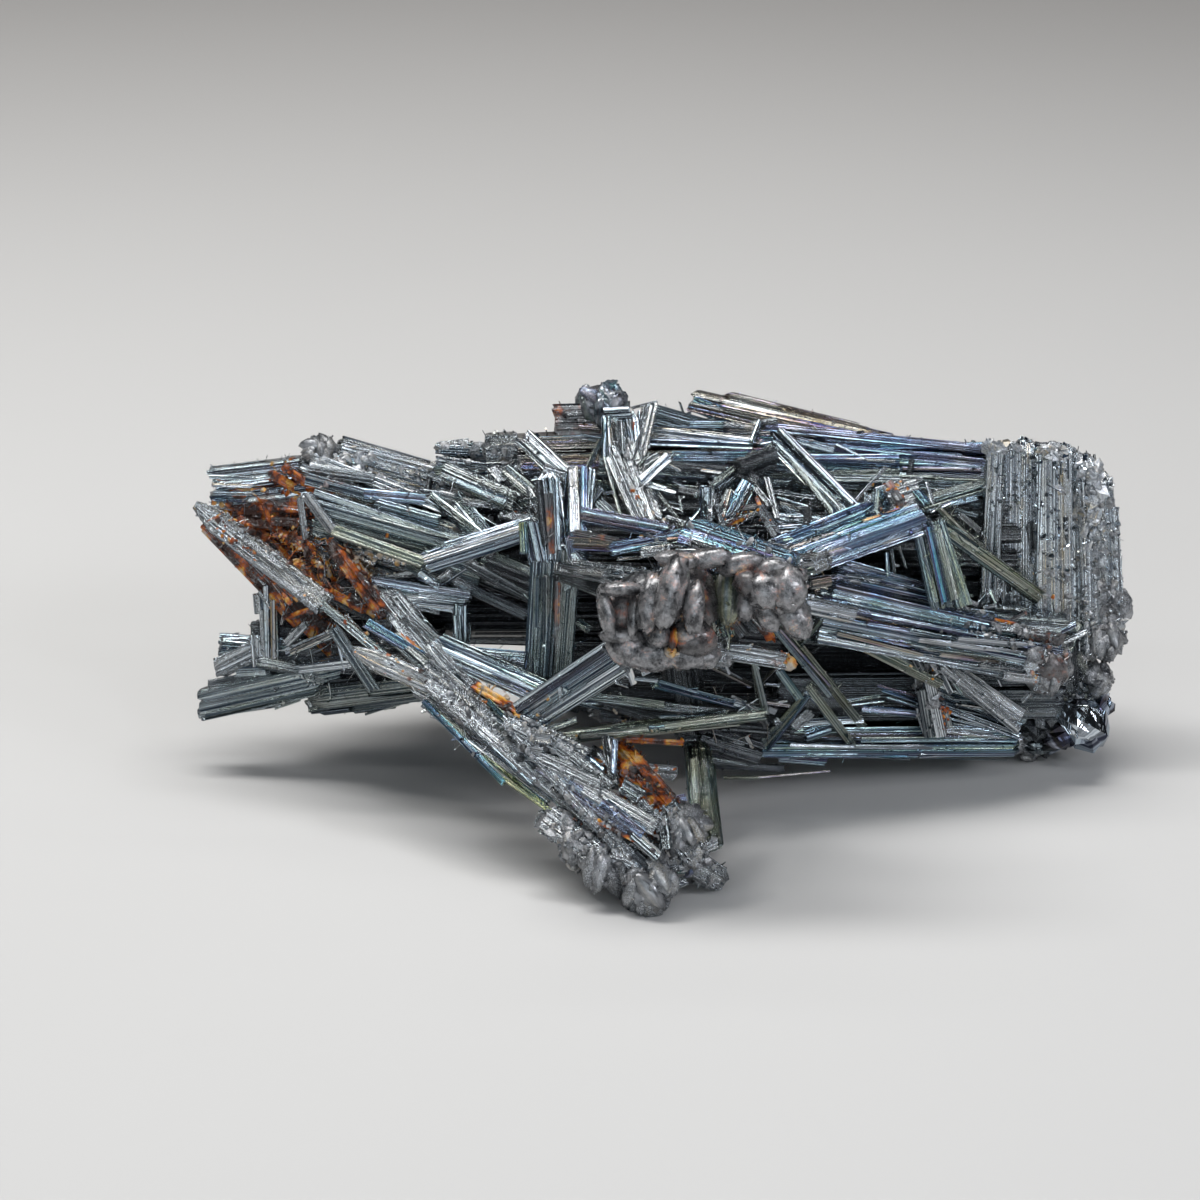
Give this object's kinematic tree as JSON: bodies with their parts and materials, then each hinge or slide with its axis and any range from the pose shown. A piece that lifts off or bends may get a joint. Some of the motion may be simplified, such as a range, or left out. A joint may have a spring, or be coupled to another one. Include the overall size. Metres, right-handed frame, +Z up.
{
  "type": "stibnite crystal spray",
  "caption": "Natural spray of striated, bladed crystals with a metallic lustre, grown together at many angles with open gaps between them.",
  "frame": {"origin": "on the resting surface, under the middle of the spray's outline", "axes": "+X along the spray's longest extent, to the right as the viewer sees it; +Y away from the viewer; +Z up"},
  "size_m": [0.1211, 0.0624, 0.0479],
  "materials": {
    "stibnite": "satin"
  },
  "bodies": {
    "root": {"stibnite_cluster": "stibnite"}
  },
  "joints": []
}
